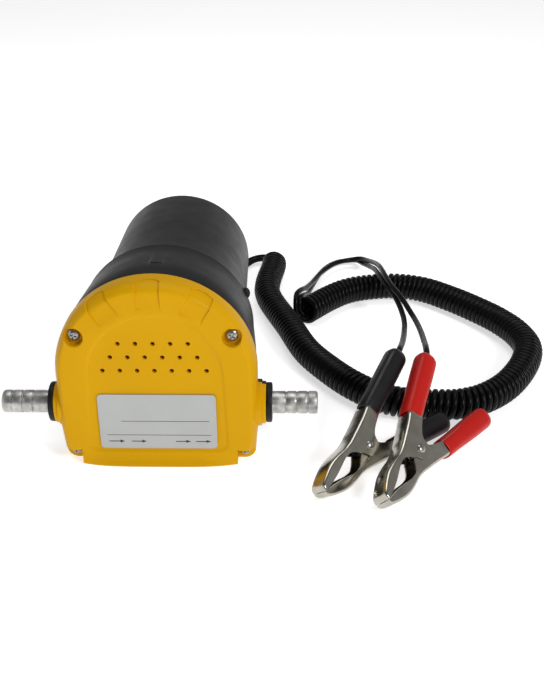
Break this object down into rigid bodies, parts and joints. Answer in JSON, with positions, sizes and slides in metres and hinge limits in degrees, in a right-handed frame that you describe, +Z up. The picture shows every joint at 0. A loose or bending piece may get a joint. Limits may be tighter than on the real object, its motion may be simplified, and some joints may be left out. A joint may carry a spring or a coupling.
{
  "type": "fluid transfer pump",
  "caption": "Portable 12 V gear pump for oil or diesel: yellow cover, black motor housing, hose barbs at both sides, curly power cord and sprung battery clips.",
  "frame": {"origin": "centre of the pump's base on the floor, without the cord and clips", "axes": "+X from the inlet barb to the outlet barb, +Y from the cover to the rear of the motor, +Z up"},
  "size_m": [0.2935, 0.3103, 0.1005],
  "materials": {
    "yellow_cover": "moulded ABS with a light gloss, bright yellow",
    "label": "blank silver-grey vinyl label",
    "black_housing": "fine-grained moulded ABS, charcoal black",
    "collar_rubber": "black rubber",
    "barb_aluminium": "turned aluminium with a dull grey surface",
    "pump_aluminium": "die-cast and machined",
    "gear_brass": "cut brass and sintered bronze",
    "machined_steel": "ground steel",
    "screw_steel": "bright zinc-plated screws",
    "motor_steel": "zinc-plated drawn steel",
    "copper": "enamelled copper wire and copper segments",
    "iron_core": "dark laminations, ferrite and carbon",
    "seal_rubber": "oil-proof rubber",
    "end_cap_nylon": "natural nylon",
    "red_switch": "glossy red switch rocker",
    "red_wire": "red wire insulation",
    "black_wire": "black wire insulation",
    "cord_black": "semi-gloss black PVC",
    "clip_nickel": "nickel-plated pressed steel",
    "black_grip": "soft black vinyl",
    "red_grip": "soft red vinyl"
  },
  "bodies": {
    "pump": {"black_clip_lead_lever": "clip_nickel", "black_clip_lead_sleeve": "black_grip", "black_clip_rivet": "clip_nickel", "black_clip_spring": "machined_steel", "black_lead": "cord_black", "brush_left": "iron_core", "brush_right": "iron_core", "cord_gland": "collar_rubber", "cord_tail": "cord_black", "cover_screw_bottom_left": "screw_steel", "cover_screw_bottom_right": "screw_steel", "cover_screw_top_left": "screw_steel", "cover_screw_top_right": "screw_steel", "curly_cord": "cord_black", "front_bush": "gear_brass", "front_cover": "yellow_cover", "idler_pin": "machined_steel", "inlet_barb": "barb_aluminium", "inlet_collar": "collar_rubber", "label_plate": "label", "magnet_left": "iron_core", "magnet_right": "iron_core", "motor_can": "motor_steel", "motor_end_cap": "end_cap_nylon", "motor_housing": "black_housing", "motor_plate": "machined_steel", "motor_wire": "black_wire", "outlet_barb": "barb_aluminium", "outlet_collar": "collar_rubber", "pump_body": "pump_aluminium", "pump_bolt_1": "machined_steel", "pump_bolt_2": "machined_steel", "pump_bolt_3": "machined_steel", "pump_bolt_4": "machined_steel", "pump_end_plate": "machined_steel", "pump_gasket": "seal_rubber", "rear_bush": "gear_brass", "red_clip_lead_lever": "clip_nickel", "red_clip_lead_sleeve": "red_grip", "red_clip_rivet": "clip_nickel", "red_clip_spring": "machined_steel", "red_lead": "cord_black", "shaft_seal": "seal_rubber", "supply_wire": "red_wire", "switch_body": "black_housing"},
    "rotor": {"motor_shaft": "machined_steel", "drive_gear": "gear_brass", "armature_core": "iron_core", "front_winding": "copper", "rear_winding": "copper", "commutator": "copper"},
    "driven_gear": {"driven_gear": "gear_brass"},
    "rocker": {"switch_rocker": "red_switch"},
    "black_clip_lever": {"black_clip_free_lever": "clip_nickel", "black_clip_free_sleeve": "black_grip"},
    "red_clip_lever": {"red_clip_free_lever": "clip_nickel", "red_clip_free_sleeve": "red_grip"}
  },
  "joints": [
    {"name": "rotor_spin", "type": "hinge", "parent": "pump", "child": "rotor", "pos_m": [0, 0, 0.0505], "axis": [0, 1, 0], "continuous": true},
    {"name": "driven_gear_spin", "type": "hinge", "parent": "pump", "child": "driven_gear", "pos_m": [0, 0, 0.0293], "axis": [0, 1, 0], "continuous": true},
    {"name": "switch_rock", "type": "hinge", "parent": "pump", "child": "rocker", "pos_m": [0, 0.0729, 0.067], "axis": [0, 0, 1], "range_deg": [0, 16]},
    {"name": "black_clip_open", "type": "hinge", "parent": "pump", "child": "black_clip_lever", "pos_m": [0.10285, -0.0828, 0.0145], "axis": [0.5644, -0.5593, 0.6072], "range_deg": [0, 20], "stiffness_Nm_per_rad": 0.8, "springref_deg": -34.38, "deforming": ["black_clip_spring"]},
    {"name": "red_clip_open", "type": "hinge", "parent": "pump", "child": "red_clip_lever", "pos_m": [0.1274, -0.0883, 0.0153], "axis": [0.5416, -0.4366, 0.7183], "range_deg": [0, 20], "stiffness_Nm_per_rad": 0.8, "springref_deg": -34.38, "deforming": ["red_clip_spring"]}
  ],
  "couplings": [
    {"joint": "driven_gear_spin", "follows": "rotor_spin", "ratio": -1}
  ]
}
